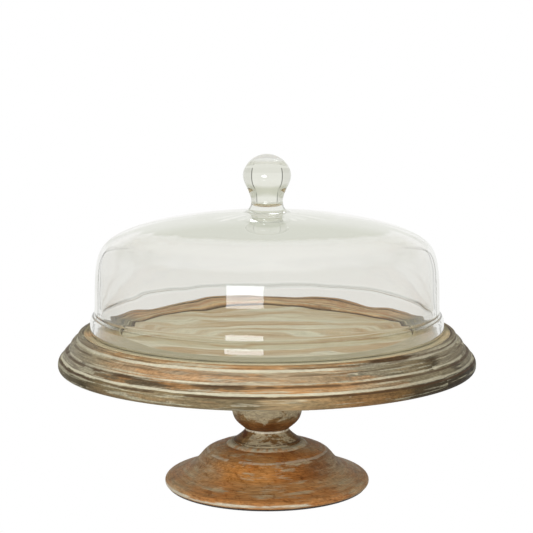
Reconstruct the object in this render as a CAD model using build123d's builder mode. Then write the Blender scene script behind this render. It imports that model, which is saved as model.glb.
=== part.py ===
"""Cake stand with a lift-off glass dome.

Millimetres. The origin is the centre of the felt pad on the table and +Z is up, along the
axis that every turned and blown piece shares. Two bodies: the wooden stand, and the glass
dome that rests free on the plate's ledge and lifts straight up.
"""
import os

from build123d import *

os.makedirs("parts", exist_ok=True)

# ---- Felt pad, glued under the foot and over the bolt head ----
FELT_R = 84.2
FELT_T = 1.2

# ---- Foot ----
FOOT_BOTTOM_Z = FELT_T
FOOT_TOP_Z = 37.0
FOOT_LAND_R = 28.9
FOOT_RING = [(FOOT_LAND_R, FOOT_TOP_Z), (31.6, 36.6), (33.4, 35.4), (34.2, 34.6)]
FOOT_SHOULDER = [(34.2, 34.6), (38.6, 33.9), (43.9, 32.3), (50.2, 29.7)]
FOOT_SWEEP = [(50.2, 29.7), (53.6, 27.3), (56.9, 23.6), (60.2, 19.9), (65.4, 16.0), (73.1, 12.0), (82.0, 8.4)]
FOOT_EDGE = [(82.0, 8.4), (85.2, 6.9), (86.5, 4.6), (86.1, 2.3), (84.9, FOOT_BOTTOM_Z)]

# ---- Stem, a baluster whose two halves mirror each other ----
STEM_BOTTOM_Z = FOOT_TOP_Z
STEM_TOP_Z = 102.0
STEM_MID_Z = (STEM_BOTTOM_Z + STEM_TOP_Z) / 2
STEM_END_R = 28.5
STEM_WAIST = (18.6, 48.0)
STEM_CONE = [(STEM_END_R, 38.0), (25.7, 40.1), (23.0, 42.2), (20.7, 44.3), (19.1, 46.4), STEM_WAIST]
STEM_BALL = [STEM_WAIST, (20.4, 49.8), (23.0, 51.9), (25.3, 54.0), (27.9, 57.6), (29.3, 61.8), (30.4, STEM_MID_Z)]
SPIGOT_R = 12.0
SPIGOT_LOWER = 13.0
SPIGOT_UPPER = 10.0
SPIGOT_CLEARANCE = 0.05
SPIGOT_END_GAP = 0.5

# ---- Plate, turned from edge-glued boards that run along X ----
PLATE_BOTTOM_Z = STEM_TOP_Z
PLATE_LEDGE_Z = 133.0
PLATE_FLOOR_Z = 130.2
LEDGE_R = 152.2
FLOOR_R = 121.8
RECESS_EDGE_R = 123.0
# Rim section from the underside up to the ledge: (radius, height, sagitta of the arc that
# arrives there). A positive sagitta swells outwards and a negative one is a cove.
RIM_SECTION = [
    (170.8, PLATE_BOTTOM_Z, 0.0),
    (174.6, 106.4, 1.3),
    (172.7, 112.3, 0.7),
    (170.7, 114.3, -0.5),
    (166.2, 119.1, 0.6),
    (164.7, 120.9, -0.35),
    (160.2, 127.1, 1.0),
    (158.1, 129.4, -0.5),
    (155.6, 132.6, 0.8),
    (153.7, 132.5, 0.0),
    (LEDGE_R, PLATE_LEDGE_Z, -0.45),
]
BOARD_SEAMS_Y = [-104.0, -37.0, 36.0, 107.0]
BOARD_NAMES = [
    "plate_board_front",
    "plate_board_mid_front",
    "plate_board_centre",
    "plate_board_mid_back",
    "plate_board_back",
]
BOARD_BLANK = 400.0

# ---- Tie bolt (M8 x 110), washer and threaded insert ----
BOLT_R = 4.0
BOLT_LENGTH = 110.0
BOLT_HEAD_FLATS = 13.0
BOLT_HEAD_H = 5.3
BOLT_TIP_CHAMFER = 0.8
BOLT_PASSAGE_R = 4.3
HEAD_EDGE_CHAMFER = 0.6
WASHER_R = 12.0
WASHER_T = 1.6
WASHER_HOLE_R = 4.2
COUNTERBORE_R = 13.0
COUNTERBORE_ROOF_Z = 12.5
INSERT_R = 6.5
INSERT_LENGTH = 12.0
INSERT_BORE_R = 4.05
INSERT_THREAD_DEPTH = 0.8
INSERT_THREAD_PITCH = 2.4
INSERT_THREADS = 4
HEAD_TOP_Z = COUNTERBORE_ROOF_Z - WASHER_T
INSERT_BOTTOM_Z = PLATE_BOTTOM_Z + SPIGOT_UPPER + SPIGOT_END_GAP
INSERT_TOP_Z = INSERT_BOTTOM_Z + INSERT_LENGTH
INSERT_POCKET_GAP = 0.4

# ---- Glass dome and its hot-applied knob ----
DOME_SEAT_Z = PLATE_LEDGE_Z
COLLAR_LAND = (142.8, 147.9)
COLLAR_BEAD = [
    (147.9, DOME_SEAT_Z),
    (147.9, 137.2),
    (147.75, 140.2),
    (147.4, 142.8),
    (146.8, 145.0),
    (145.8, 146.7),
]
COLLAR_FLARE = [(144.6, 147.4), (144.15, 149.4), (143.85, 151.8), (143.65, 156.5)]
COLLAR_INSIDE = [
    (138.7, 156.5),
    (138.8, 152.0),
    (138.95, 149.0),
    (139.3, 146.4),
    (140.5, 145.5),
    (141.6, 144.2),
    (142.3, 142.0),
    (142.65, 138.8),
    (142.8, 135.0),
    (142.8, DOME_SEAT_Z),
]
# Shoulder and crown: (radius, height, wall thickness square to the surface).
DOME_SHOULDER = [
    (143.2, 176.0, 4.9),
    (142.3, 187.0, 4.6),
    (140.3, 196.0, 4.3),
    (137.0, 203.0, 4.0),
    (131.8, 208.2, 3.7),
    (122.3, 213.8, 3.5),
    (110.5, 218.4, 3.6),
    (94.0, 222.9, 4.3),
    (75.0, 226.6, 5.3),
    (50.0, 229.8, 6.0),
]
DOME_TOP_Z = 231.8
KNOB_ROOT_R = 20.0
DOME_CROWN_INSIDE = [(34.0, 225.1), (17.0, 225.75), (0.0, 225.9)]
KNOB_NECK = [(KNOB_ROOT_R, DOME_TOP_Z), (16.4, 233.3), (14.1, 236.4), (13.2, 241.0)]
KNOB_BULB = [
    (13.2, 241.0),
    (14.3, 246.0),
    (17.0, 252.4),
    (19.4, 258.0),
    (20.0, 262.4),
    (19.0, 267.2),
    (15.6, 272.6),
    (9.6, 277.4),
    (0.0, 279.8),
]

UP = (0, 1)
IN = (-1, 0)


def inward(points):
    """Inner points: each outer point moved by its wall thickness, square to the outer curve."""
    moved = []
    for index, (r, z, wall) in enumerate(points):
        before = points[max(index - 1, 0)]
        after = points[min(index + 1, len(points) - 1)]
        run = Vector(after[0] - before[0], after[1] - before[1]).normalized()
        moved.append((r - wall * run.Y, z + wall * run.X))
    return moved


def save(part, name):
    part.label = name
    export_step(part, f"parts/{name}.step")


# Foot: one turned block with a flat land for the stem, counterbored for the bolt head.
with BuildPart() as foot:
    with BuildSketch(Plane.XZ):
        with BuildLine():
            Line((0, FOOT_TOP_Z), (FOOT_LAND_R, FOOT_TOP_Z))
            Spline(*FOOT_RING)
            Spline(*FOOT_SHOULDER)
            Spline(*FOOT_SWEEP)
            Spline(*FOOT_EDGE)
            Line(FOOT_EDGE[-1], (0, FOOT_BOTTOM_Z))
            Line((0, FOOT_BOTTOM_Z), (0, FOOT_TOP_Z))
        make_face()
    revolve(axis=Axis.Z)
    with BuildSketch(Plane.XY.offset(FOOT_TOP_Z)):
        Circle(SPIGOT_R + SPIGOT_CLEARANCE)
    extrude(amount=-(SPIGOT_LOWER + SPIGOT_END_GAP), mode=Mode.SUBTRACT)
    with BuildSketch(Plane.XY.offset(FOOT_BOTTOM_Z)):
        Circle(COUNTERBORE_R)
    extrude(amount=COUNTERBORE_ROOF_Z - FOOT_BOTTOM_Z, mode=Mode.SUBTRACT)
    with BuildSketch(Plane.XY.offset(FOOT_BOTTOM_Z)):
        Circle(BOLT_PASSAGE_R)
    extrude(amount=FOOT_TOP_Z, mode=Mode.SUBTRACT)
save(foot.part, "foot")

# Stem: the lower half is drawn and mirrored, then spigots and the bolt passage are added.
with BuildPart() as stem:
    with BuildSketch(Plane.XZ):
        with BuildLine():
            Line((0, STEM_BOTTOM_Z), (STEM_END_R - 0.4, STEM_BOTTOM_Z))
            Line((STEM_END_R - 0.4, STEM_BOTTOM_Z), STEM_CONE[0])
            Spline(*STEM_CONE)
            Spline(*STEM_BALL, tangents=((0.5, 0.86), UP), tangent_scalars=(0.6, 1.0))
            Line(STEM_BALL[-1], (0, STEM_MID_Z))
            Line((0, STEM_MID_Z), (0, STEM_BOTTOM_Z))
        make_face()
    revolve(axis=Axis.Z)
    mirror(about=Plane.XY.offset(STEM_MID_Z))
    with BuildSketch(Plane.XY.offset(STEM_BOTTOM_Z - SPIGOT_LOWER)):
        Circle(SPIGOT_R)
    extrude(amount=SPIGOT_LOWER + STEM_TOP_Z - STEM_BOTTOM_Z + SPIGOT_UPPER)
    with BuildSketch(Plane.XY.offset(STEM_BOTTOM_Z - SPIGOT_LOWER)):
        Circle(BOLT_PASSAGE_R)
    extrude(amount=SPIGOT_LOWER + STEM_TOP_Z - STEM_BOTTOM_Z + SPIGOT_UPPER, mode=Mode.SUBTRACT)
save(stem.part, "stem")

# Plate: the whole turned plate, with a socket for the stem and a pocket for the insert.
with BuildPart() as plate:
    with BuildSketch(Plane.XZ):
        with BuildLine():
            Line((0, PLATE_BOTTOM_Z), RIM_SECTION[0][:2])
            for (r0, z0, _), (r1, z1, sagitta) in zip(RIM_SECTION, RIM_SECTION[1:]):
                if sagitta:
                    SagittaArc((r0, z0), (r1, z1), -sagitta)
                else:
                    Line((r0, z0), (r1, z1))
            Line((LEDGE_R, PLATE_LEDGE_Z), (RECESS_EDGE_R, PLATE_LEDGE_Z))
            Line((RECESS_EDGE_R, PLATE_LEDGE_Z), (FLOOR_R, PLATE_FLOOR_Z))
            Line((FLOOR_R, PLATE_FLOOR_Z), (0, PLATE_FLOOR_Z))
            Line((0, PLATE_FLOOR_Z), (0, PLATE_BOTTOM_Z))
        make_face()
    revolve(axis=Axis.Z)
    with BuildSketch(Plane.XY.offset(PLATE_BOTTOM_Z)):
        Circle(SPIGOT_R + SPIGOT_CLEARANCE)
    extrude(amount=SPIGOT_UPPER + SPIGOT_END_GAP, mode=Mode.SUBTRACT)
    with BuildSketch(Plane.XY.offset(INSERT_BOTTOM_Z)):
        Circle(INSERT_R)
    extrude(amount=INSERT_LENGTH + INSERT_POCKET_GAP, mode=Mode.SUBTRACT)

# Boards: the turned plate is parted along its glue lines.
board_edges_y = [-BOARD_BLANK / 2] + BOARD_SEAMS_Y + [BOARD_BLANK / 2]
for name, y_front, y_back in zip(BOARD_NAMES, board_edges_y, board_edges_y[1:]):
    with BuildPart() as board:
        add(plate.part)
        with BuildSketch(Plane.XY):
            with Locations((0, (y_front + y_back) / 2)):
                Rectangle(BOARD_BLANK, y_back - y_front)
        extrude(amount=BOARD_BLANK, mode=Mode.INTERSECT)
    save(board.part, name)

# Tie bolt: hex head under the washer, shank up through foot and stem into the insert.
with BuildPart() as tie_bolt:
    with BuildSketch(Plane.XY.offset(HEAD_TOP_Z - BOLT_HEAD_H)):
        RegularPolygon(BOLT_HEAD_FLATS / 2, 6, major_radius=False)
    extrude(amount=BOLT_HEAD_H)
    chamfer(tie_bolt.faces().sort_by(Axis.Z)[0].edges(), HEAD_EDGE_CHAMFER)
    with BuildSketch(Plane.XY.offset(HEAD_TOP_Z)):
        Circle(BOLT_R)
    extrude(amount=BOLT_LENGTH)
    chamfer(tie_bolt.faces().sort_by(Axis.Z)[-1].edges(), BOLT_TIP_CHAMFER)
save(tie_bolt.part, "tie_bolt")

# Washer between the bolt head and the counterbore's roof.
with BuildPart() as bolt_washer:
    with BuildSketch(Plane.XY.offset(HEAD_TOP_Z)):
        Circle(WASHER_R)
        Circle(WASHER_HOLE_R, mode=Mode.SUBTRACT)
    extrude(amount=WASHER_T)
save(bolt_washer.part, "bolt_washer")

# Threaded insert: a sleeve with coarse ridges that bite into the centre board.
with BuildPart() as threaded_insert:
    with BuildSketch(Plane.XY.offset(INSERT_BOTTOM_Z)):
        Circle(INSERT_R)
        Circle(INSERT_BORE_R, mode=Mode.SUBTRACT)
    extrude(amount=INSERT_LENGTH)
    for turn in range(INSERT_THREADS):
        groove_z = INSERT_BOTTOM_Z + INSERT_THREAD_PITCH * (turn + 0.7)
        with BuildSketch(Plane.XY.offset(groove_z)):
            Circle(INSERT_R + 1)
            Circle(INSERT_R - INSERT_THREAD_DEPTH, mode=Mode.SUBTRACT)
        extrude(amount=INSERT_THREAD_PITCH / 2, mode=Mode.SUBTRACT)
save(threaded_insert.part, "threaded_insert")

# Felt pad: the face that rests on the table.
with BuildPart() as felt_pad:
    with BuildSketch(Plane.XY):
        Circle(FELT_R)
    extrude(amount=FELT_T)
save(felt_pad.part, "felt_pad")

# Glass dome: a thick rolled collar under a creased step, a near-straight wall, and a low crown
# whose ceiling is flatter than its top, so the glass thickens towards the centre.
with BuildPart() as glass_dome:
    outside = [COLLAR_FLARE[-1]] + [(r, z) for r, z, _ in DOME_SHOULDER] + [(KNOB_ROOT_R + 2, DOME_TOP_Z)]
    inside = [COLLAR_INSIDE[0]] + inward(DOME_SHOULDER) + DOME_CROWN_INSIDE
    with BuildSketch(Plane.XZ):
        with BuildLine():
            Line((COLLAR_LAND[0], DOME_SEAT_Z), (COLLAR_LAND[1], DOME_SEAT_Z))
            Spline(*COLLAR_BEAD)
            Line(COLLAR_BEAD[-1], COLLAR_FLARE[0])
            Spline(*COLLAR_FLARE)
            Spline(*outside, tangents=(UP, IN), tangent_scalars=(0.5, 0.5))
            Line(outside[-1], (0, DOME_TOP_Z))
            Line((0, DOME_TOP_Z), DOME_CROWN_INSIDE[-1])
            Spline(*inside, tangents=(UP, IN), tangent_scalars=(0.5, 0.4))
            Spline(*COLLAR_INSIDE)
        make_face()
    revolve(axis=Axis.Z)
save(glass_dome.part, "glass_dome")

# Glass knob: solid gather with a flared root, fused to the middle of the crown.
with BuildPart() as glass_knob:
    with BuildSketch(Plane.XZ):
        with BuildLine():
            Line((0, DOME_TOP_Z), (KNOB_ROOT_R, DOME_TOP_Z))
            Spline(*(KNOB_NECK + KNOB_BULB[1:]), tangents=((-1, 0.25), IN), tangent_scalars=(0.3, 0.25))
            Line(KNOB_BULB[-1], (0, DOME_TOP_Z))
        make_face()
    revolve(axis=Axis.Z)
save(glass_knob.part, "glass_knob")
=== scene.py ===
"""Looks for the cake stand with a lift-off glass dome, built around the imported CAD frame.

Lengths are in metres, apart from the dome's section, which is in millimetres. A turn runs from 0 at
the back, by 0.25 at the left and 0.5 at the front, round to 1 at the back again.
"""

import math

import bpy
import numpy as np
from mathutils import Euler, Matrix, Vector, noise


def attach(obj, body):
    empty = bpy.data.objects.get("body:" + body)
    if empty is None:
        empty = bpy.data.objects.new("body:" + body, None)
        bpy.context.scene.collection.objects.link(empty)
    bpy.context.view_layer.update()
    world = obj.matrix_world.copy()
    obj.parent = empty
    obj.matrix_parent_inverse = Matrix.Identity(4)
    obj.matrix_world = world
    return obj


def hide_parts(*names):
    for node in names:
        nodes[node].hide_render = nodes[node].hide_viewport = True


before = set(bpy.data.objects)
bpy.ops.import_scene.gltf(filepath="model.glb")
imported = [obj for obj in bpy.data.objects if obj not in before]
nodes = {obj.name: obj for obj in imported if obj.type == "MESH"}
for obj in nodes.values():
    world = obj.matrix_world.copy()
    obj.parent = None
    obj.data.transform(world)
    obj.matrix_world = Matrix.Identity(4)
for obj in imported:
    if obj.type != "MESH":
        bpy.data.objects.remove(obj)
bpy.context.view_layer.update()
MM = 0.001


# ---------------------------------------------------------------- camera, light, stage

def srgb(r, g, b):
    """A colour given as 0 to 255 display values, as the linear values that shaders take."""
    out = []
    for value in (r, g, b):
        c = value / 255
        out.append(c / 12.92 if c <= 0.04045 else ((c + 0.055) / 1.055) ** 2.4)
    return tuple(out) + (1.0,)


def make_camera():
    """A long lens, a little above the plate and tilted down."""
    tilt_down = 7.704
    data = bpy.data.cameras.new("camera")
    data.lens = 101.62
    data.sensor_width = 36.0
    data.shift_x = -0.00094
    camera = bpy.data.objects.new("camera", data)
    camera.location = (0, -1.2467, 0.3543)
    camera.rotation_euler = Euler((math.radians(90 - tilt_down), 0, 0))
    bpy.context.scene.collection.objects.link(camera)
    bpy.context.scene.camera = camera


def area_light(name, place, target, width, height, watts, colour, seen):
    """A softbox. seen says whether glass shows its reflection."""
    data = bpy.data.lights.new(name, "AREA")
    data.shape = "RECTANGLE"
    data.size = width
    data.size_y = height
    data.energy = watts
    data.color = colour
    lamp = bpy.data.objects.new(name, data)
    lamp.location = place
    aim = Vector(target) - Vector(place)
    lamp.rotation_euler = aim.to_track_quat("-Z", "Y").to_euler()
    lamp.visible_camera = False
    lamp.visible_glossy = seen
    lamp.visible_transmission = False
    bpy.context.scene.collection.objects.link(lamp)


def make_world():
    """White sweep behind the object, dimmer room in front and above. The camera sees plain white."""
    front_room = (0.52, 0.52, 0.50, 1)
    white_sweep = (0.97, 0.97, 0.96, 1)
    below_table = (0.92, 0.92, 0.91, 1)
    room_through_glass = (0.90, 0.90, 0.88, 1)
    upper_room = (0.74, 0.75, 0.68, 1)
    side_walls = (0.84, 0.84, 0.83, 1)
    sweep_edge = (0.12, 0.12, 0.11, 1)
    world = bpy.data.worlds.new("studio")
    bpy.context.scene.world = world
    world.use_nodes = True
    tree = world.node_tree
    tree.nodes.clear()
    g = Graph(tree)
    direction = g.node("ShaderNodeTexCoord").outputs["Generated"]
    x, y, z = g.split(direction)
    back = g.ramp(g.map(y, -0.75, 0.15), [(0.0, front_room), (1.0, white_sweep)])
    back = g.mix(g.map(z, -0.115, -0.14), back, below_table, "MULTIPLY")
    through = g.node("ShaderNodeLightPath").outputs["Is Transmission Ray"]
    back = g.mix(g.mul(through, g.map(y, 0.1, -0.4)), back, room_through_glass)
    room = g.mix(g.map(z, 0.25, 0.42), back, upper_room)
    # Dark edges of the sweep, either side of the object: the thin lines in the knob and wall.
    # They are fainter once the light has crossed more than one wall of glass.
    slope = g.math("DIVIDE", g.math("ABSOLUTE", x), g.math("MAXIMUM", y, 0.05))
    edge = g.map(g.math("ABSOLUTE", g.add(slope, -0.55)), 0.015, 0.045, 0.9, 0.0)
    walls = g.node("ShaderNodeLightPath").outputs["Transmission Depth"]
    edge = g.mul(edge, g.map(walls, 2.2, 2.8, 1.0, 0.3))
    edge = g.mul(edge, g.map(g.math("ABSOLUTE", z), 0.40, 0.55, 1.0, 0.0))
    room = g.mix(g.map(slope, 0.5, 0.75, 0.0, 0.9), room, side_walls, "MULTIPLY")
    room = g.mix(edge, room, sweep_edge)
    seen = g.node("ShaderNodeLightPath").outputs["Is Camera Ray"]
    colour = g.mix(seen, room, (1, 1, 1, 1))
    background = g.node("ShaderNodeBackground")
    g.feed(background.inputs["Color"], colour)
    output = g.node("ShaderNodeOutputWorld")
    tree.links.new(background.outputs[0], output.inputs["Surface"])


# ---------------------------------------------------------------- shader helper

class Graph:
    """Short calls that add and link shader nodes. A value may be a number, tuple or socket."""

    def __init__(self, tree):
        self.tree = tree

    def node(self, kind, **settings):
        made = self.tree.nodes.new(kind)
        for key, value in settings.items():
            setattr(made, key, value)
        return made

    def feed(self, socket, value):
        if isinstance(value, bpy.types.NodeSocket):
            self.tree.links.new(value, socket)
        else:
            socket.default_value = value

    def math(self, operation, a, b=None, c=None):
        made = self.node("ShaderNodeMath", operation=operation)
        for socket, value in zip(made.inputs, (a, b, c)):
            if value is not None:
                self.feed(socket, value)
        return made.outputs[0]

    def add(self, a, b):
        return self.math("ADD", a, b)

    def mul(self, a, b):
        return self.math("MULTIPLY", a, b)

    def split(self, vector):
        made = self.node("ShaderNodeSeparateXYZ")
        self.feed(made.inputs[0], vector)
        return made.outputs[0], made.outputs[1], made.outputs[2]

    def join(self, x, y, z):
        made = self.node("ShaderNodeCombineXYZ")
        for socket, value in zip(made.inputs, (x, y, z)):
            self.feed(socket, value)
        return made.outputs[0]

    def map(self, value, low, high, to_low=0.0, to_high=1.0):
        made = self.node("ShaderNodeMapRange", interpolation_type="SMOOTHSTEP")
        self.feed(made.inputs["Value"], value)
        made.inputs["From Min"].default_value = low
        made.inputs["From Max"].default_value = high
        made.inputs["To Min"].default_value = to_low
        made.inputs["To Max"].default_value = to_high
        return made.outputs["Result"]

    def mix(self, factor, a, b, blend="MIX"):
        made = self.node("ShaderNodeMix", data_type="RGBA", blend_type=blend)
        made.clamp_factor = True
        self.feed(made.inputs[0], factor)
        self.feed(made.inputs[6], a)
        self.feed(made.inputs[7], b)
        return made.outputs[2]

    def noise(self, vector, scale, detail=3.0, rough=0.5, w=None, distortion=0.0):
        made = self.node("ShaderNodeTexNoise", noise_dimensions="3D" if w is None else "4D")
        self.feed(made.inputs["Vector"], vector)
        if w is not None:
            self.feed(made.inputs["W"], w)
        made.inputs["Scale"].default_value = scale
        made.inputs["Detail"].default_value = detail
        made.inputs["Roughness"].default_value = rough
        made.inputs["Distortion"].default_value = distortion
        return made.outputs["Fac"]

    def ramp(self, factor, stops):
        made = self.node("ShaderNodeValToRGB")
        elements = made.color_ramp.elements
        while len(elements) > 1:
            elements.remove(elements[-1])
        for index, (place, colour) in enumerate(stops):
            element = elements[0] if index == 0 else elements.new(place)
            element.position = place
            element.color = colour
        self.feed(made.inputs[0], factor)
        return made.outputs["Color"]

    def bump(self, height, distance):
        made = self.node("ShaderNodeBump")
        made.inputs["Strength"].default_value = 1.0
        made.inputs["Distance"].default_value = distance
        self.feed(made.inputs["Height"], height)
        return made.outputs["Normal"]


def new_material(name):
    """A material that holds one Principled shader, linked to its output."""
    material = bpy.data.materials.new(name)
    material.use_nodes = True
    tree = material.node_tree
    tree.nodes.clear()
    g = Graph(tree)
    shader = g.node("ShaderNodeBsdfPrincipled")
    output = g.node("ShaderNodeOutputMaterial")
    tree.links.new(shader.outputs[0], output.inputs["Surface"])
    return material, g, shader, output


# ---------------------------------------------------------------- wood

CREAM = srgb(214, 206, 186)
CREAM_RIM = srgb(188, 181, 160)
WASH = srgb(199, 189, 165)
WASH_GREY = srgb(176, 170, 148)
TAN = srgb(184, 156, 118)
ORANGE = srgb(172, 122, 68)
GREY_BROWN = srgb(134, 121, 97)
DARK_LINE = srgb(66, 46, 30)


class Wood:
    """Shared inputs of the whitewashed wood: position, turning angle, grain and streaks."""

    def __init__(self, name, seed):
        self.material, self.g, self.shader, self.output = new_material(name)
        g = self.g
        place = g.node("ShaderNodeTexCoord").outputs["Object"]
        self.x, self.y, self.z = g.split(place)
        self.r = g.math("SQRT", g.add(g.mul(self.x, self.x), g.mul(self.y, self.y)))
        safe_r = g.math("MAXIMUM", self.r, 0.0005)
        self.cos = g.math("DIVIDE", self.x, safe_r)
        self.sin = g.math("DIVIDE", self.y, safe_r)
        angle = g.math("ARCTAN2", self.x, g.mul(self.y, -1.0))
        self.turn = g.math("MULTIPLY_ADD", angle, 1 / (2 * math.pi), 0.5)
        # Fibres and pores run along X.
        self.fibre = self.along(34.0, 700.0, 4.0, 0.65, seed + 3.1)
        self.pores = self.along(160.0, 1500.0, 2.0, 0.5, seed + 6.4)
        # Turning streaks follow the lathe's circles: long and broad, long and fine, short.
        self.broad = self.around(1.7, 70.0, 90.0, 3.0, seed + 5.3)
        self.streak = self.around(2.6, 340.0, 400.0, 5.0, seed + 7.7)
        self.scratch = self.around(8.0, 900.0, 1100.0, 3.0, seed + 1.9)
        self.patch = self.around(6.5, 120.0, 180.0, 5.0, seed + 8.8)
        self.mottle = g.noise(place, 60.0, 5.0, 0.65, w=seed + 9.2)

    def along(self, per_x, per_yz, detail, rough, w):
        """Noise stretched along X, the way the grain of the boards runs."""
        g = self.g
        spot = g.join(g.mul(self.x, per_x), g.mul(self.y, per_yz), g.mul(self.z, per_yz))
        return g.noise(spot, 1.0, detail, rough, w=w)

    def around(self, turns, per_r, per_z, detail, w):
        """Noise stretched along the turning circles. turns is how often it changes round them."""
        g = self.g
        spot = g.join(g.mul(self.cos, turns), g.mul(self.sin, turns), g.mul(self.z, per_z))
        return g.noise(spot, 1.0, detail, 0.62, w=g.add(g.mul(self.r, per_r), w))

    def shift(self, streak, amount):
        """The streak's noise as a shift either way, of at most half the amount."""
        return self.g.mul(self.g.add(streak, -0.5), amount)

    def line(self, value, centre, half):
        """1 on the line, falling to 0 at half its width away. half may be a socket."""
        g = self.g
        away = g.math("ABSOLUTE", g.add(value, -centre))
        return g.map(g.math("DIVIDE", away, half), 0.45, 1.0, 1.0, 0.0)

    def shade(self, colour, *values):
        """The colour darkened or lightened by each value."""
        for value in values:
            colour = self.g.mix(1.0, colour, value, "MULTIPLY")
        return colour

    def grain(self, colour, depth=1.0):
        """Fine fibres, pores and turning scratches over a colour."""
        g = self.g
        return self.shade(
            colour,
            g.map(self.fibre, 0.3, 0.7, 1.0 - 0.24 * depth, 1.0 + 0.12 * depth),
            g.map(self.pores, 0.36, 0.6, 1.0 - 0.16 * depth, 1.0 + 0.05 * depth),
            g.map(self.scratch, 0.3, 0.66, 1.0 - 0.22 * depth, 1.0 + 0.10 * depth),
        )

    def finish(self, colour, rough, height, distance):
        """Closes the material. The wax is thin, so the wood shines only a little."""
        g = self.g
        g.feed(self.shader.inputs["Base Color"], colour)
        g.feed(self.shader.inputs["Roughness"], rough)
        g.feed(self.shader.inputs["Normal"], g.bump(height, distance))
        self.shader.inputs["Specular IOR Level"].default_value = 0.12
        return self.material


def grey(value):
    """A plain grey, given as a linear value."""
    return (value, value, value, 1)


# Where one part of the turned plate ends and the next begins: (start, end) of the ramp between them.
# Heights on the rim, from below.
UNDERSIDE_ENDS = (0.1026, 0.1021)
MIDDLE_STARTS = (0.1129, 0.1131)
UPPER_STARTS = (0.1199, 0.1201)
BEAD_STARTS = (0.1289, 0.1292)
# Radii on the top, from the centre.
FLOOR_ENDS = (0.1222, 0.1216)
RIM_STARTS = (0.1527, 0.1531)
FLOOR_CORNER = 0.1220
LEDGE_CORNER = 0.1234
RIM_LINE_LIGHT = 0.1534
RIM_LINE_DARK = 0.1538

# The figure's rings are ovals, centred a little in front of the axis.
FIGURE_LENGTH = 0.15
FIGURE_WIDTH = 0.05
FIGURE_FORWARD = 0.015
FLOOR_FIGURE = [
    (0.0, srgb(190, 158, 118)),
    (0.35, srgb(204, 180, 144)),
    (0.6, srgb(214, 202, 174)),
    (0.82, srgb(228, 222, 202)),
    (1.0, srgb(214, 208, 184)),
]


def plate_floor(w):
    """Recessed floor: long rings of flat-sawn figure, bent by noise, under an uneven wash."""
    g = w.g
    figure_x = g.mul(w.x, 1 / FIGURE_LENGTH)
    figure_y = g.mul(g.add(w.y, FIGURE_FORWARD), 1 / FIGURE_WIDTH)
    oval = g.math("SQRT", g.add(g.mul(figure_x, figure_x), g.mul(figure_y, figure_y)))
    bend = g.noise(g.join(g.mul(w.x, 6.0), g.mul(w.y, 12.0), w.z), 1.0, 3.0, 0.5, w=3.4, distortion=0.7)
    wave = g.math("SINE", g.mul(g.add(g.mul(oval, 1.5), g.mul(bend, 3.6)), 2 * math.pi))
    fine_wave = g.math("SINE", g.mul(g.add(g.mul(oval, 3.9), g.mul(bend, 8.2)), 2 * math.pi))
    figure = g.add(g.math("MULTIPLY_ADD", wave, 0.34, 0.5), g.mul(fine_wave, 0.16))
    floor = g.ramp(figure, FLOOR_FIGURE)
    hair_y = g.mul(g.add(figure, g.mul(w.y, 6.0)), 9.0)
    hair = g.noise(g.join(g.mul(w.x, 14.0), hair_y, w.z), 1.0, 5.0, 0.7, w=2.6)
    veil = g.noise(g.join(g.mul(w.x, 9.0), g.mul(w.y, 26.0), w.z), 1.0, 4.0, 0.55, w=9.1, distortion=0.8)
    floor = g.mix(g.map(hair, 0.52, 0.66, 0.0, 0.55), floor, srgb(226, 219, 197))
    floor = g.mix(g.map(hair, 0.47, 0.36, 0.0, 0.5), floor, srgb(186, 156, 116))
    floor = g.mix(g.map(veil, 0.46, 0.64, 0.0, 0.5), floor, srgb(218, 208, 182))
    floor = g.mix(g.map(veil, 0.44, 0.34, 0.0, 0.5), floor, srgb(198, 168, 128))
    floor = g.mix(g.map(w.x, 0.05, 0.12, 0.0, 0.8), floor, w.shade(floor, srgb(236, 226, 208)))
    circles = g.join(g.mul(w.cos, 1.2), g.mul(w.sin, 1.2), g.mul(w.r, 150.0))
    turned = g.noise(circles, 1.0, 3.0, 0.6, w=8.0)
    floor = g.mix(g.map(turned, 0.52, 0.66, 0.0, 0.3), floor, srgb(210, 204, 182))
    return w.grain(floor, 0.45)


LEDGE_WASH = [
    (0.0, grey(0.1)), (0.2, grey(0.12)), (0.27, grey(0.3)), (0.33, grey(0.85)),
    (0.5, grey(1.0)), (0.68, grey(0.85)), (0.75, grey(0.3)), (0.84, grey(0.1)),
]


def plate_ledge(w, ragged):
    """Ledge under the glass: grey wash at the front, bare brown at the sides and back, and painted shade at
    the left and right ends.
    """
    g = w.g
    washed = g.ramp(ragged, LEDGE_WASH)
    bare = g.mix(g.map(w.streak, 0.36, 0.6), srgb(146, 102, 62), srgb(222, 186, 140))
    bare = g.mix(g.map(w.patch, 0.5, 0.6, 0.0, 0.8), bare, srgb(190, 138, 88))
    # Painted shade of the step: the bare wood darkens at the ledge's left and right ends.
    flank_shade = g.mul(g.map(g.math("ABSOLUTE", w.sin), 0.55, 0.25), g.map(w.y, -0.03, 0.0))
    bare = g.mix(flank_shade, bare, g.mix(g.map(w.streak, 0.4, 0.6), srgb(76, 64, 38), srgb(124, 112, 76)))
    ledge = g.mix(g.add(washed, w.shift(w.broad, 0.5)), bare, srgb(180, 172, 144))
    ledge = g.mix(g.map(w.streak, 0.52, 0.68, 0.0, 0.5), ledge, srgb(164, 154, 124))
    return w.grain(ledge, 0.6)


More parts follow.
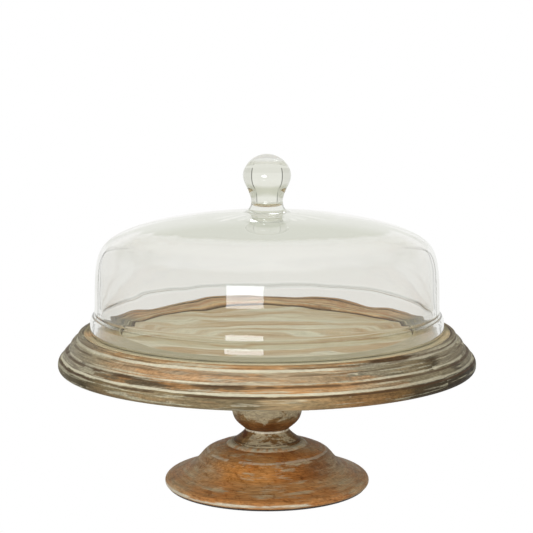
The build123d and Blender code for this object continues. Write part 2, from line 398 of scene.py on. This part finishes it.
# Rim bands, each with its own orange, grey and wash round the turn. The bead is above the upper one.
UPPER_BAND = [
    (0.0, GREY_BROWN), (0.08, TAN), (0.12, ORANGE), (0.2, GREY_BROWN), (0.29, srgb(166, 158, 134)),
    (0.34, srgb(158, 146, 116)), (0.366, srgb(164, 146, 112)), (0.376, srgb(182, 152, 112)),
    (0.46, srgb(174, 157, 128)), (0.52, srgb(180, 159, 124)), (0.552, srgb(178, 152, 114)),
    (0.556, srgb(160, 152, 126)), (0.63, srgb(128, 114, 84)), (0.645, srgb(80, 70, 50)),
    (0.656, srgb(148, 138, 112)), (0.76, GREY_BROWN), (0.86, ORANGE), (0.92, TAN), (0.97, GREY_BROWN),
]
MIDDLE_BAND = [
    (0.0, TAN), (0.1, GREY_BROWN), (0.2, srgb(150, 140, 116)), (0.3, srgb(162, 154, 132)),
    (0.36, srgb(118, 104, 78)), (0.41, srgb(106, 90, 66)), (0.478, srgb(126, 104, 74)),
    (0.486, srgb(190, 154, 108)), (0.54, srgb(182, 144, 98)), (0.57, srgb(176, 154, 118)),
    (0.604, srgb(158, 130, 94)), (0.609, srgb(148, 136, 106)), (0.66, srgb(140, 130, 102)),
    (0.67, srgb(80, 70, 54)), (0.684, srgb(146, 138, 114)), (0.8, GREY_BROWN), (0.9, ORANGE), (0.97, TAN),
]
LOWER_BAND = [
    (0.0, ORANGE), (0.07, GREY_BROWN), (0.2, srgb(156, 150, 130)), (0.27, srgb(126, 118, 94)),
    (0.34, srgb(88, 78, 56)), (0.42, srgb(150, 134, 104)), (0.494, srgb(122, 108, 82)),
    (0.499, srgb(172, 150, 116)), (0.53, srgb(168, 146, 110)), (0.56, srgb(148, 114, 76)),
    (0.6, srgb(118, 92, 58)), (0.612, srgb(74, 64, 46)), (0.7, srgb(58, 50, 36)),
    (0.75, srgb(134, 124, 98)), (0.86, TAN), (0.94, ORANGE),
]
BEAD = [
    (0.0, GREY_BROWN), (0.3, srgb(150, 140, 116)), (0.37, srgb(176, 148, 106)), (0.5, srgb(172, 142, 100)),
    (0.575, srgb(150, 124, 88)), (0.585, srgb(84, 64, 42)), (0.615, srgb(92, 72, 48)),
    (0.625, srgb(156, 146, 120)), (0.75, GREY_BROWN), (0.9, ORANGE), (0.97, GREY_BROWN),
]
# How much of the wash is left in a groove round the turn.
UPPER_RUN = [
    (0.0, grey(0.4)), (0.34, grey(0.7)), (0.40, grey(1.0)), (0.55, grey(1.0)),
    (0.565, grey(0.15)), (0.61, grey(0.2)), (0.63, grey(0.7)), (1.0, grey(0.4)),
]
MIDDLE_RUN = [
    (0.0, grey(0.6)), (0.42, grey(0.55)), (0.425, grey(1.0)), (0.462, grey(1.0)),
    (0.466, grey(0.4)), (0.556, grey(0.4)), (0.56, grey(0.8)), (1.0, grey(0.6)),
]
LOWER_RUN = [(0.0, grey(0.6)), (0.3, grey(1.0)), (0.55, grey(0.95)), (0.6, grey(0.6)), (1.0, grey(0.6))]
EVEN_RUN = [(0.0, grey(0.5)), (1.0, grey(0.5))]
# Grooves: height, half width, then the wash's run and where its noise opens, or the strength of the painted
# shade.
WASHED_GROOVES = [
    (0.1290, 0.0014, UPPER_RUN, (0.28, 0.36)),
    (0.1202, 0.0010, MIDDLE_RUN, (0.40, 0.50)),
    (0.1136, 0.0012, LOWER_RUN, (0.28, 0.36)),
    (0.1064, 0.0007, EVEN_RUN, (0.55, 0.6)),
]
# These grooves get a dark line of painted shade.
SHADED_GROOVES = [(0.1117, 0.0009, 0.85), (0.1261, 0.0006, 0.5), (0.1185, 0.0009, 0.75), (0.1306, 0.0007, 0.5)]


def plate_rim(w, ragged, seed):
    """Rim bands, worn through and washed along the turning, with the grooves between them."""
    g = w.g
    above_lower = g.map(w.z, *MIDDLE_STARTS)
    rim = g.mix(above_lower, g.ramp(ragged, LOWER_BAND), g.ramp(ragged, MIDDLE_BAND))
    rim = g.mix(g.map(w.z, *UPPER_STARTS), rim, g.ramp(ragged, UPPER_BAND))
    rim = g.mix(g.map(w.z, *BEAD_STARTS), rim, g.ramp(ragged, BEAD))
    # Darker wood showing through, then thin wash dragged along the turning in broken streaks.
    rim = w.shade(rim, g.mix(above_lower, srgb(226, 223, 219), srgb(225, 223, 230)))
    rubbed = g.mul(g.map(w.turn, 0.34, 0.40), g.map(w.turn, 0.64, 0.57))
    rubbed = g.mul(rubbed, g.map(w.around(3.4, 130.0, 170.0, 5.0, seed + 4.4), 0.48, 0.56, 0.0, 0.5))
    rubbed = g.mul(rubbed, g.map(w.z, *MIDDLE_STARTS, 0.35, 1.0))
    rim = g.mix(rubbed, rim, srgb(178, 130, 82))
    rim = g.mix(g.map(w.patch, 0.55, 0.61, 0.0, 0.5), rim, w.shade(rim, grey(0.62)))
    rim = g.mix(g.map(w.streak, 0.46, 0.38, 0.0, 0.65), rim, w.shade(rim, grey(0.55)))
    side = g.map(g.math("ABSOLUTE", g.add(w.turn, -0.47)), 0.05, 0.24, 0.0, 0.03)
    rim = g.mix(g.map(g.add(w.streak, side), 0.555, 0.62, 0.0, 0.65), rim, WASH_GREY)
    rim = g.mix(g.map(g.add(w.patch, side), 0.655, 0.70, 0.0, 0.6), rim, WASH)
    rim = w.grain(rim)
    # Wash left in the grooves, uneven in width and broken here and there, then dark lines of painted shade.
    wobble = g.add(w.z, g.add(w.shift(w.broad, 0.0014), w.shift(w.scratch, 0.0012)))
    uneven = g.map(w.patch, 0.3, 0.7, 0.55, 1.25)
    cream = w.grain(CREAM_RIM, 0.5)
    for centre, half, run, gate in WASHED_GROOVES:
        broken = g.map(w.around(5.0, 20.0, 20.0, 4.0, seed + centre * 90), *gate)
        left = w.shade(broken, g.ramp(ragged, run))
        rim = g.mix(g.mul(left, w.line(wobble, centre, g.mul(uneven, half))), rim, cream)
    # Painted shade: a broken dark line in each of these grooves.
    for centre, half, strength in SHADED_GROOVES:
        gate = g.map(w.around(4.0, 20.0, 20.0, 3.0, seed + centre * 50), 0.38, 0.50)
        rim = g.mix(g.mul(g.mul(w.line(wobble, centre, half), gate), strength), rim, DARK_LINE)
    return rim


BOARD_SEEDS = [("front", 11.0), ("mid_front", 23.0), ("centre", 31.0), ("mid_back", 47.0), ("back", 59.0)]


def plate_wood(name, seed):
    """One board of the turned plate. Only its streaks and patches differ from the other boards'."""
    w = Wood(name, seed)
    g = w.g
    ragged = g.add(w.turn, g.add(w.shift(w.streak, 0.07), w.shift(w.scratch, 0.02)))
    colour = g.mix(g.map(w.r, *RIM_STARTS), plate_ledge(w, ragged), plate_rim(w, ragged, seed))
    front = g.mul(g.map(w.turn, 0.32, 0.38), g.map(w.turn, 0.66, 0.60))
    bare = g.mul(w.line(w.r, RIM_LINE_LIGHT, 0.0011), g.mul(front, 0.8))
    colour = g.mix(bare, colour, w.grain(srgb(176, 134, 90)))
    dark = g.mul(w.line(w.r, RIM_LINE_DARK, 0.0006), g.map(w.broad, 0.42, 0.56))
    colour = g.mix(dark, colour, DARK_LINE)
    colour = g.mix(g.map(w.r, *FLOOR_ENDS), colour, plate_floor(w))
    # Painted shadow in the corner where the recessed floor meets the step up to the ledge.
    dark = g.mul(w.line(w.r, FLOOR_CORNER, 0.0010), g.map(w.z, 0.1320, 0.1305))
    colour = g.mix(dark, colour, srgb(84, 66, 44))
    worn = g.mul(w.line(w.r, LEDGE_CORNER, 0.0008), g.map(w.patch, 0.36, 0.5, 0.2, 0.85))
    colour = g.mix(worn, colour, srgb(190, 180, 150))
    under = g.mix(g.map(w.broad, 0.42, 0.6), srgb(140, 120, 90), srgb(166, 158, 134))
    colour = g.mix(g.map(w.z, *UNDERSIDE_ENDS), colour, w.grain(under, 0.7))
    rough = g.map(w.mottle, 0.3, 0.7, 0.5, 0.68)
    height = g.add(g.mul(w.fibre, 0.5), g.add(g.mul(w.scratch, 0.4), g.mul(w.streak, 0.3)))
    return w.finish(colour, rough, height, 0.0004)


# Grooves of the stem: height, half width, strength of the wash.
STEM_GROOVES = [(0.0478, 0.0012, 0.9), (0.0912, 0.0012, 0.9), (0.1008, 0.0012, 0.8)]
STEM_FOOT_LINE = 0.0388
# Heights on the stem, as the (start, end) of a ramp: its base, its ball, and the wash on the ball.
BASE_ENDS = (0.049, 0.047)
BALL_STARTS = (0.0475, 0.0485)
BALL_MIDDLE = (0.060, 0.056)
WASH_RISES = (0.053, 0.066)


def stem_wood():
    """Turned baluster: a ball, bare below under painted shade and whitewashed above, over a flared base."""
    w = Wood("stem_wood", 41.0)
    g = w.g
    blot = g.noise(g.join(w.x, w.y, g.mul(w.z, 1.5)), 42.0, 5.0, 0.68, w=3.7, distortion=0.7)
    lower = g.map(w.z, *BASE_ENDS)
    bare = g.mix(g.map(w.broad, 0.38, 0.62), srgb(116, 84, 50), srgb(142, 112, 74))
    bare = g.mix(g.map(blot, 0.40, 0.30, 0.0, 0.9), bare, srgb(92, 52, 26))
    # Painted shade under the ball: its lower half, bare wood already, is darkened further.
    shaded_lower_half = g.mul(g.map(w.z, *BALL_MIDDLE), g.map(w.z, *BALL_STARTS))
    bare = g.mix(shaded_lower_half, bare, w.shade(bare, srgb(232, 200, 168)))
    # The ball's lower half is bare and darkens to its edge, with painted shade on top of the bare wood, and
    # its upper half is whitewashed.
    height_bias = g.map(w.z, *WASH_RISES, -0.20, 0.10)
    wash = g.map(g.add(blot, height_bias), 0.47, 0.56, 0.0, 0.85)
    low_wash = g.map(g.add(blot, w.shift(w.streak, 0.35)), 0.47, 0.55, 0.0, 0.85)
    wash = g.math("ADD", g.mul(wash, g.math("SUBTRACT", 1.0, lower)), g.mul(low_wash, lower))
    colour = g.mix(wash, bare, srgb(184, 170, 140))
    colour = g.mix(g.map(w.streak, 0.46, 0.36, 0.0, 0.7), colour, w.shade(colour, grey(0.55)))
    colour = w.grain(colour, 1.1)
    wobble = g.add(w.z, g.add(w.shift(w.broad, 0.0016), w.shift(w.scratch, 0.001)))
    cream = w.grain(CREAM, 0.5)
    for centre, half, strength in STEM_GROOVES:
        left = g.mul(g.map(w.patch, 0.34, 0.44), strength)
        colour = g.mix(g.mul(w.line(wobble, centre, half), left), colour, cream)
    dark = g.mul(w.line(wobble, STEM_FOOT_LINE, 0.0007), g.map(w.patch, 0.38, 0.54, 0.15, 0.7))
    colour = g.mix(dark, colour, DARK_LINE)
    rough = g.map(w.mottle, 0.3, 0.7, 0.5, 0.65)
    height = g.add(g.mul(w.fibre, 0.5), g.mul(w.scratch, 0.6))
    return w.finish(colour, rough, height, 0.0004)


FOOT_SHOULDER = [
    (0.0, srgb(166, 112, 62)), (0.2, srgb(154, 124, 90)), (0.34, srgb(160, 118, 76)),
    (0.42, srgb(186, 126, 66)), (0.5, srgb(190, 132, 74)), (0.53, srgb(168, 110, 58)),
    (0.62, srgb(134, 82, 40)), (0.72, srgb(152, 120, 88)), (0.9, srgb(172, 114, 62)),
    (0.97, srgb(166, 112, 62)),
]
# Heights on the foot: where its shoulder and its top start, the groove between them, its lip.
SHOULDER_STARTS = (0.0150, 0.0185)
TOP_STARTS = (0.0292, 0.0300)
SHOULDER_GROOVE = 0.0296
LIP_LINE = 0.0040
LIP_ENDS = (0.0022, 0.0014)
# Radius of the washed ring round the stem.
WASHED_RING = (0.0350, 0.0332)


def foot_wood():
    """Turned foot: orange-brown sweep, a shoulder, and a washed ring round the stem."""
    w = Wood("foot_wood", 67.0)
    g = w.g
    ragged = g.add(w.turn, w.shift(w.streak, 0.03))
    side = g.map(g.math("ABSOLUTE", g.add(w.turn, -0.5)), 0.06, 0.2)
    shoulder = g.ramp(ragged, FOOT_SHOULDER)
    top = g.mix(g.map(w.broad, 0.4, 0.62), srgb(176, 116, 62), srgb(178, 130, 80))
    slope = g.mix(g.map(w.broad, 0.38, 0.6), srgb(186, 126, 72), srgb(174, 130, 84))
    slope = g.mix(g.mul(side, 0.85), slope, srgb(180, 134, 90))
    colour = g.mix(g.map(w.z, *SHOULDER_STARTS), slope, shoulder)
    colour = g.mix(g.map(w.z, *TOP_STARTS), colour, top)
    # Slanting strokes of darker stain on the sweep, then wash dragged round by the turning.
    across = g.add(g.mul(w.turn, 60.0), g.mul(w.z, 260.0))
    lengthwise = g.mul(g.add(g.mul(w.turn, 60.0), g.mul(w.z, -700.0)), 0.35)
    strokes = g.noise(g.join(across, lengthwise, w.r), 1.0, 4.0, 0.7, w=1.7)
    colour = g.mix(g.map(strokes, 0.49, 0.36, 0.0, 0.75), colour, w.shade(colour, srgb(196, 176, 150)))
    colour = g.mix(g.map(w.mottle, 0.56, 0.66, 0.0, 0.45), colour, w.shade(colour, srgb(232, 190, 140)))
    colour = g.mix(g.map(w.streak, 0.45, 0.36, 0.0, 0.45), colour, w.shade(colour, grey(0.66)))
    smear = w.around(2.6, 110.0, 190.0, 4.0, 4.6)
    wash = g.map(g.add(smear, w.shift(w.streak, 0.45)), 0.54, 0.70, 0.0, 0.8)
    colour = g.mix(wash, colour, srgb(184, 168, 138))
    colour = g.mix(g.mul(side, g.map(smear, 0.40, 0.6, 0.05, 0.65)), colour, srgb(190, 168, 134))
    colour = w.grain(colour, 0.9)
    wobble = g.add(w.z, g.add(w.shift(w.broad, 0.0018), w.shift(w.scratch, 0.001)))
    broken = g.map(w.around(5.0, 20.0, 20.0, 4.0, 2.2), 0.42, 0.54)
    cream = w.grain(CREAM, 0.5)
    colour = g.mix(g.mul(w.line(wobble, SHOULDER_GROOVE, 0.0008), g.mul(broken, 0.45)), colour, cream)
    ring = g.mul(g.map(w.r, *WASHED_RING), g.map(w.patch, 0.38, 0.54, 0.2, 0.95))
    colour = g.mix(ring, colour, w.grain(srgb(184, 174, 148), 0.6))
    lip = g.mul(w.line(wobble, LIP_LINE, 0.0016), g.mul(g.map(w.broad, 0.44, 0.52), 0.85))
    colour = g.mix(lip, colour, cream)
    colour = g.mix(g.map(w.z, *LIP_ENDS), colour, srgb(80, 58, 38))
    rough = g.map(w.mottle, 0.3, 0.7, 0.46, 0.62)
    height = g.add(g.mul(w.fibre, 0.5), g.mul(w.scratch, 0.5))
    return w.finish(colour, rough, height, 0.0003)


# ---------------------------------------------------------------- felt and metals

def felt():
    """Dark felt with a short, uneven fuzz."""
    material, g, shader, _ = new_material("felt")
    place = g.node("ShaderNodeTexCoord").outputs["Object"]
    fuzz = g.noise(place, 900.0, 4.0, 0.7)
    tufts = g.noise(place, 160.0, 3.0, 0.6)
    colour = g.mix(g.map(fuzz, 0.35, 0.7), srgb(38, 34, 33), srgb(66, 60, 58))
    g.feed(shader.inputs["Base Color"], colour)
    g.feed(shader.inputs["Roughness"], g.map(tufts, 0.3, 0.7, 0.85, 1.0))
    shader.inputs["Sheen Weight"].default_value = 0.4
    shader.inputs["Sheen Roughness"].default_value = 0.5
    g.feed(shader.inputs["Normal"], g.bump(g.add(fuzz, tufts), 0.0004))
    return material


def metal(name, colour, dull, rough):
    """Plated or machined metal with fine turning marks and a few dull spots."""
    material, g, shader, _ = new_material(name)
    place = g.node("ShaderNodeTexCoord").outputs["Object"]
    x, y, z = g.split(place)
    marks = g.noise(g.join(x, y, g.mul(z, 40.0)), 90.0, 4.0, 0.6)
    spots = g.noise(place, 320.0, 3.0, 0.6)
    g.feed(shader.inputs["Base Color"], g.mix(g.map(spots, 0.45, 0.7), colour, dull))
    shader.inputs["Metallic"].default_value = 1.0
    g.feed(shader.inputs["Roughness"], g.map(marks, 0.3, 0.7, rough - 0.08, rough + 0.12))
    g.feed(shader.inputs["Normal"], g.bump(marks, 0.00008))
    return material


# ---------------------------------------------------------------- glass

# Heights on the glass, from below, as the (start, end) of a ramp.
LAND_ENDS = (0.13301, 0.13305)
CREASE_STARTS, CREASE_ENDS = (0.1430, 0.1436), (0.1486, 0.1494)
FACET_STARTS, FACET_ENDS = (0.1466, 0.1467), (0.1474, 0.1475)
CROWN_STARTS = (0.2200, 0.2215)
KNOB_STARTS = (0.2325, 0.2380)
CAP_STARTS = (0.2725, 0.2760)
# Radii on the glass: the edge of the thick crown, and the outside of the crease's facet.
THICK_CROWN = (0.062, 0.056)
FACET_OUTSIDE = (0.1438, 0.1442)


def glass_tint_with_painted_line(g, x, y, z):
    """Nearly clear in the wall, greener in the thick crown and the knob, dark on the crease's facet, where
    the dark line is a painted reflection.
    """
    r = g.math("SQRT", g.add(g.mul(x, x), g.mul(y, y)))
    uneven = g.noise(g.join(g.mul(x, 14.0), g.mul(y, 70.0), z), 1.0, 3.0, 0.6)
    ragged_r = g.add(r, g.mul(g.add(uneven, -0.5), 0.03))
    thick = g.mul(g.map(ragged_r, *THICK_CROWN), g.map(z, *CROWN_STARTS))
    tint = g.mix(thick, (0.946, 0.945, 0.929, 1), (0.86, 0.868, 0.815, 1))
    tint = g.mix(g.map(z, *KNOB_STARTS), tint, (0.835, 0.84, 0.77, 1))
    # Painted reflection: the crease's facet is tinted dark, for the dark line that the glass reflects there.
    below_top = g.mul(g.map(z, *FACET_ENDS, 1.0, 0.0), g.map(r, *FACET_OUTSIDE))
    painted_reflection = g.mul(g.map(z, *FACET_STARTS), below_top)
    return g.mix(painted_reflection, tint, (0.30, 0.27, 0.22, 1))


def unbent_share(g, z, path):
    """How much of the light goes straight through the glass here, instead of bending.

    At the collar's crease, where it faces the viewer, and at the top of the knob, part of the light
    that arrives from outside goes in unbent. What went in unbent has an odd transparent depth, and
    comes out unbent too. Shadow rays, and light after its third mirror bounce, always go straight on.
    """
    facing = g.node("ShaderNodeLayerWeight")
    facing.inputs["Blend"].default_value = 0.5
    crease = g.mul(g.map(z, *CREASE_STARTS), g.map(z, *CREASE_ENDS, 1.0, 0.0))
    crease = g.mul(crease, g.map(facing.outputs["Facing"], 0.45, 0.70, 0.8, 0.0))
    cap = g.map(z, *CAP_STARTS, 0.0, 0.7)
    inside = g.node("ShaderNodeNewGeometry").outputs["Backfacing"]
    went_in_unbent = g.math("MODULO", path.outputs["Transparent Depth"], 2.0)
    going_in = g.mul(g.math("MAXIMUM", crease, cap), g.math("SUBTRACT", 1.0, inside))
    coming_out = g.mul(inside, went_in_unbent)
    bounced = g.math("GREATER_THAN", path.outputs["Glossy Depth"], 2.5)
    share = g.math("MAXIMUM", bounced, g.math("MAXIMUM", going_in, coming_out))
    return g.math("MAXIMUM", path.outputs["Is Shadow Ray"], share)


def glass():
    """Clear soda glass with a matt ground land at the bottom."""
    material, g, shader, output = new_material("clear_glass")
    place = g.node("ShaderNodeTexCoord").outputs["Object"]
    x, y, z = g.split(place)
    above_land = g.map(z, *LAND_ENDS)
    g.feed(shader.inputs["Base Color"], g.mix(above_land, srgb(170, 160, 132), glass_tint_with_painted_line(g, x, y, z)))
    g.feed(shader.inputs["Transmission Weight"], above_land)
    g.feed(shader.inputs["Roughness"], g.math("SUBTRACT", 0.6, g.mul(above_land, 0.6)))
    shader.inputs["IOR"].default_value = 1.5
    clear = g.node("ShaderNodeBsdfTransparent")
    clear.inputs[0].default_value = (0.93, 0.935, 0.92, 1)
    path = g.node("ShaderNodeLightPath")
    switch = g.node("ShaderNodeMixShader")
    g.feed(switch.inputs[0], unbent_share(g, z, path))
    g.tree.links.new(shader.outputs[0], switch.inputs[1])
    g.tree.links.new(clear.outputs[0], switch.inputs[2])
    g.tree.links.new(switch.outputs[0], output.inputs["Surface"])
    return material


def curve(points, count, start=None, end=None):
    """A smooth curve through the points, by chord-length cubic spline. Optional end slopes."""
    p = np.array(points, float)
    s = np.concatenate([[0.0], np.cumsum(np.hypot(*np.diff(p, axis=0).T))])
    n = len(p)
    h = np.diff(s)
    a = np.zeros((n, n))
    b = np.zeros((n, 2))
    for i in range(1, n - 1):
        a[i, i - 1: i + 2] = h[i - 1], 2 * (h[i - 1] + h[i]), h[i]
        b[i] = 6 * ((p[i + 1] - p[i]) / h[i] - (p[i] - p[i - 1]) / h[i - 1])
    a[0, 0] = a[-1, -1] = 1.0
    if start is not None:
        a[0, :2] = 2 * h[0], h[0]
        b[0] = 6 * ((p[1] - p[0]) / h[0] - np.array(start))
    if end is not None:
        a[-1, -2:] = h[-1], 2 * h[-1]
        b[-1] = 6 * (np.array(end) - (p[-1] - p[-2]) / h[-1])
    m = np.linalg.solve(a, b)
    out = []
    for t in np.linspace(0, s[-1], count):
        i = min(int(np.searchsorted(s, t, side="right")) - 1, n - 2)
        u, v = s[i + 1] - t, t - s[i]
        k = h[i]
        point = (m[i] * u ** 3 + m[i + 1] * v ** 3) / (6 * k)
        point = point + (p[i] / k - m[i] * k / 6) * u + (p[i + 1] / k - m[i + 1] * k / 6) * v
        out.append(tuple(point))
    return out


# The dome's section as (radius, height) in millimetres, and the wall too where there are three.
COLLAR_BEAD = [
    (147.9, 133.0), (147.9, 137.2), (147.75, 140.2), (147.4, 142.8), (146.8, 145.0), (145.8, 146.7),
]
COLLAR_FLARE = [(144.6, 147.4), (144.15, 149.4), (143.85, 151.8), (143.65, 156.5)]
COLLAR_INSIDE = [
    (138.7, 156.5), (138.8, 152.0), (138.95, 149.0), (139.3, 146.4), (140.5, 145.5), (141.6, 144.2),
    (142.3, 142.0), (142.65, 138.8), (142.8, 135.0), (142.8, 133.0),
]
SHOULDER = [
    (143.2, 176.0, 4.9), (142.3, 187.0, 4.6), (140.3, 196.0, 4.3), (137.0, 203.0, 4.0),
    (131.8, 208.2, 3.7), (122.3, 213.8, 3.5), (110.5, 218.4, 3.6), (94.0, 222.9, 4.3),
    (75.0, 226.6, 5.3), (50.0, 229.8, 6.0),
]
CROWN_INSIDE = [(34.0, 225.1), (17.0, 225.75), (0.0, 225.9)]
KNOB = [
    (22.0, 231.8), (19.2, 232.2), (16.2, 233.4), (14.1, 236.4), (13.2, 241.0), (14.3, 246.0),
    (17.0, 252.4), (19.4, 258.0), (20.0, 262.4), (19.0, 267.2), (15.6, 272.6), (9.6, 277.4), (0.0, 279.8),
]
# Slopes that a curve starts or ends with.
UPRIGHT, LEVEL, NEARLY_LEVEL = (0, 1), (-1, 0), (-1, 0.02)
SEGMENTS = 224
# Most that the surface lies off true: slow unevenness, and a quicker ripple on the inside only.
WOBBLE = 0.16
RIPPLE = 0.10
INSIDE_LAYER = 7.0
# The wobble sets in above the ground land and fades towards the axis.
TRUE_UP_TO = 134.0
FREE_AFTER = 12
TRUE_POLE = 30
# Part of the wobble that lifts the surface as well as pushing it out.
RISE_SHARE = 0.4
SHARP_ANGLE = 38


def straight(start, end, count):
    """Points inside the straight run from start to end, so that its smooth shading stays flat."""
    steps = [k / (count + 1) for k in range(1, count + 1)]
    return [(start[0] + (end[0] - start[0]) * t, start[1] + (end[1] - start[1]) * t) for t in steps]


def inward(points):
    """Inner points: each outer point moved by its wall thickness, square to the outer curve."""
    moved = []
    for index, (r, z, wall) in enumerate(points):
        before = points[max(index - 1, 0)]
        after = points[min(index + 1, len(points) - 1)]
        run = Vector((after[0] - before[0], after[1] - before[1])).normalized()
        moved.append((r - wall * run.y, z + wall * run.x))
    return moved


def glass_section():
    """The closed outline as (radius, height, layer), up the outside and down the inside."""
    outer = curve(COLLAR_BEAD, 60)
    outer += straight(COLLAR_BEAD[-1], COLLAR_FLARE[0], 6)
    outer += curve(COLLAR_FLARE, 24)
    shoulder = [COLLAR_FLARE[-1]] + [(r, z) for r, z, _ in SHOULDER] + [KNOB[0]]
    outer += curve(shoulder, 130, start=UPRIGHT, end=NEARLY_LEVEL)[1:]
    outer += curve(KNOB, 90, start=NEARLY_LEVEL, end=LEVEL)[1:]
    roof = [COLLAR_INSIDE[0]] + inward(SHOULDER) + CROWN_INSIDE
    inner = curve(roof, 130, start=UPRIGHT, end=LEVEL)
    inner = inner[::-1] + curve(COLLAR_INSIDE, 90)[1:]
    return [(r, z, 0.0) for r, z in outer] + [(r, z, INSIDE_LAYER) for r, z in inner]


def hand_wobble(r, z, layer, a):
    """How far out the hand-blown surface lies here. The ground land and the poles stay true."""
    free = min(1.0, max(0.0, (z - TRUE_UP_TO) / FREE_AFTER)) * min(1.0, r / TRUE_POLE)
    slow = Vector((1.6 * math.cos(a), 1.6 * math.sin(a), z / 38 + layer))
    wobble = WOBBLE * free * noise.noise(slow)
    if layer:
        quick = Vector((7.5 * math.cos(a), 7.5 * math.sin(a), z / 15 + layer))
        wobble += RIPPLE * free * noise.noise(quick)
    return wobble


def turned(section):
    """The section swept round the axis: vertices, and the vertex numbers of each ring."""
    verts, rings = [], []
    for r, z, layer in section:
        if r < 0.05:
            rings.append([len(verts)])
            verts.append((0, 0, z * MM))
            continue
        ring = []
        for k in range(SEGMENTS):
            a = 2 * math.pi * k / SEGMENTS
            out = hand_wobble(r, z, layer, a)
            ring.append(len(verts))
            x = (r + out) * math.cos(a) * MM
            y = (r + out) * math.sin(a) * MM
            verts.append((x, y, (z + RISE_SHARE * out) * MM))
        rings.append(ring)
    return verts, rings


def skin(rings):
    """Faces between each ring and the next, and from the last back to the first."""
    faces = []
    for low, high in zip(rings, rings[1:] + rings[:1]):
        if len(low) == 1 and len(high) == 1:
            continue
        for k in range(SEGMENTS):
            n = (k + 1) % SEGMENTS
            if len(high) == 1:
                faces.append((low[k], low[n], high[0]))
            elif len(low) == 1:
                faces.append((low[0], high[n], high[k]))
            else:
                faces.append((low[k], low[n], high[n], high[k]))
    return faces


def blown_glass():
    """Dome and knob as one blown piece, turned from its section, with a slight hand wobble."""
    verts, rings = turned(glass_section())
    mesh = bpy.data.meshes.new("blown_glass")
    mesh.from_pydata(verts, [], skin(rings))
    mesh.validate()
    mesh.shade_smooth()
    mesh.set_sharp_from_angle(angle=math.radians(SHARP_ANGLE))
    piece = bpy.data.objects.new("blown_glass", mesh)
    bpy.context.scene.collection.objects.link(piece)
    mesh.materials.append(glass())
    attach(piece, "dome")
    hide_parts("glass_dome", "glass_knob")


# ---------------------------------------------------------------- put together

def dress(name, material):
    """Gives a CAD node its only material."""
    mesh = nodes[name].data
    mesh.materials.clear()
    mesh.materials.append(material)


def make_stage():
    """A plain pale floor: as white as the sweep where it's seen, and dimmer as a light source."""
    radius = 0.85
    count = 96
    angles = [2 * math.pi * k / count for k in range(count)]
    ring = [(radius * math.cos(a), radius * math.sin(a), 0) for a in angles]
    mesh = bpy.data.meshes.new("floor")
    mesh.from_pydata(ring, [], [tuple(range(count))])
    floor = bpy.data.objects.new("floor", mesh)
    bpy.context.scene.collection.objects.link(floor)
    material, g, shader, output = new_material("pale_floor")
    shader.inputs["Base Color"].default_value = (0.6, 0.6, 0.59, 1)
    shader.inputs["Roughness"].default_value = 0.9
    shader.inputs["Specular IOR Level"].default_value = 0.0
    path = g.node("ShaderNodeLightPath")
    glow = g.node("ShaderNodeEmission")
    as_light = (0.92, 0.92, 0.905, 1)
    as_seen = (1.0, 1.0, 1.0, 1)
    g.feed(glow.inputs["Color"], g.mix(path.outputs["Is Camera Ray"], as_light, as_seen))
    switch = g.node("ShaderNodeMixShader")
    g.tree.links.new(path.outputs["Is Diffuse Ray"], switch.inputs[0])
    g.tree.links.new(glow.outputs[0], switch.inputs[1])
    g.tree.links.new(shader.outputs[0], switch.inputs[2])
    g.tree.links.new(switch.outputs[0], output.inputs["Surface"])
    mesh.materials.append(material)


make_camera()
make_world()
make_stage()
area_light(
    "softbox", place=(-0.39, -1.62, 0.285), target=(-0.02, -0.14, 0.18),
    width=0.68, height=0.50, watts=9.0, colour=(0.95, 1.0, 1.06), seen=True,
)
area_light(
    "overhead", place=(0.1, -0.5, 1.5), target=(0, 0, 0.1),
    width=1.3, height=1.0, watts=8.0, colour=(1.0, 0.99, 0.97), seen=False,
)
area_light(
    "front_fill", place=(-0.2, -1.6, 0.42), target=(0, 0, 0.05),
    width=0.9, height=0.7, watts=10.0, colour=(1.0, 0.98, 0.95), seen=False,
)

for board, board_seed in BOARD_SEEDS:
    dress("plate_board_" + board, plate_wood("plate_wood_" + board, board_seed))
dress("stem", stem_wood())
dress("foot", foot_wood())
steel = metal("zinc_steel", (0.60, 0.61, 0.62, 1), (0.42, 0.43, 0.44, 1), 0.34)
dress("tie_bolt", steel)
dress("bolt_washer", steel)
dress("threaded_insert", metal("insert_brass", (0.80, 0.62, 0.30, 1), (0.56, 0.42, 0.20, 1), 0.3))
dress("felt_pad", felt())
blown_glass()

bpy.context.scene.view_settings.view_transform = "Standard"
